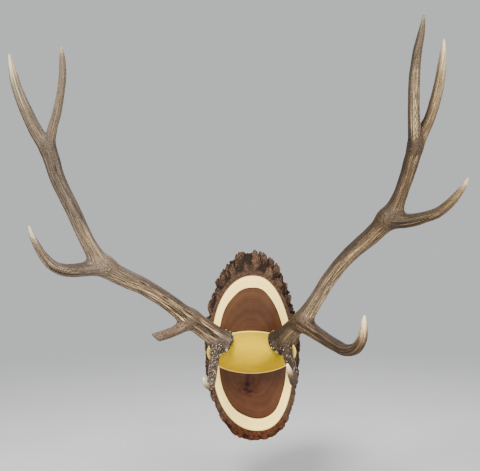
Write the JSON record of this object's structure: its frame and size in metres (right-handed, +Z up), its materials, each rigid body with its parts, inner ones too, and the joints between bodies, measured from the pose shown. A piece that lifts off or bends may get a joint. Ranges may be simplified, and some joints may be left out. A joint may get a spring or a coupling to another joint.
{
  "type": "elk antler mount",
  "caption": "Wall mount of a pair of elk antlers: beaded burrs on a skull plate under a domed hide cover, on an oval bark-edged walnut slice; one bez tine is broken short.",
  "frame": {"origin": "on the slice's flat back face, behind the middle of the hide cover", "axes": "+Z up the wall, +X to the viewer's right, +Y into the wall; the antlers reach towards -Y"},
  "size_m": [0.9167, 0.3782, 0.9065],
  "materials": {
    "walnut": "sanded and oiled face, rough natural bark edge",
    "skull_bone": "cleaned dry bone",
    "tan_hide": "matte tanned buckskin",
    "antler_bone": "natural antler, grooved and pearled, with polished pale tips",
    "zinc_steel": "zinc plated"
  },
  "bodies": {
    "root": {"walnut_slice": "walnut", "skull_plate": "skull_bone", "hide_cover": "tan_hide", "left_lower_beam": "antler_bone", "left_upper_beam": "antler_bone", "left_crown_outer_tine": "antler_bone", "left_crown_inner_tine": "antler_bone", "left_trez_tine": "antler_bone", "left_bez_stub": "antler_bone", "left_brow_tine": "antler_bone", "right_lower_beam": "antler_bone", "right_upper_beam": "antler_bone", "right_crown_outer_tine": "antler_bone", "right_crown_inner_tine": "antler_bone", "right_trez_tine": "antler_bone", "right_bez_tine": "antler_bone", "right_brow_tine": "antler_bone", "hanger_plate": "zinc_steel", "hanger_screw_lower": "zinc_steel", "hanger_screw_upper": "zinc_steel", "plate_screw_left": "zinc_steel", "plate_screw_right": "zinc_steel"}
  },
  "joints": []
}
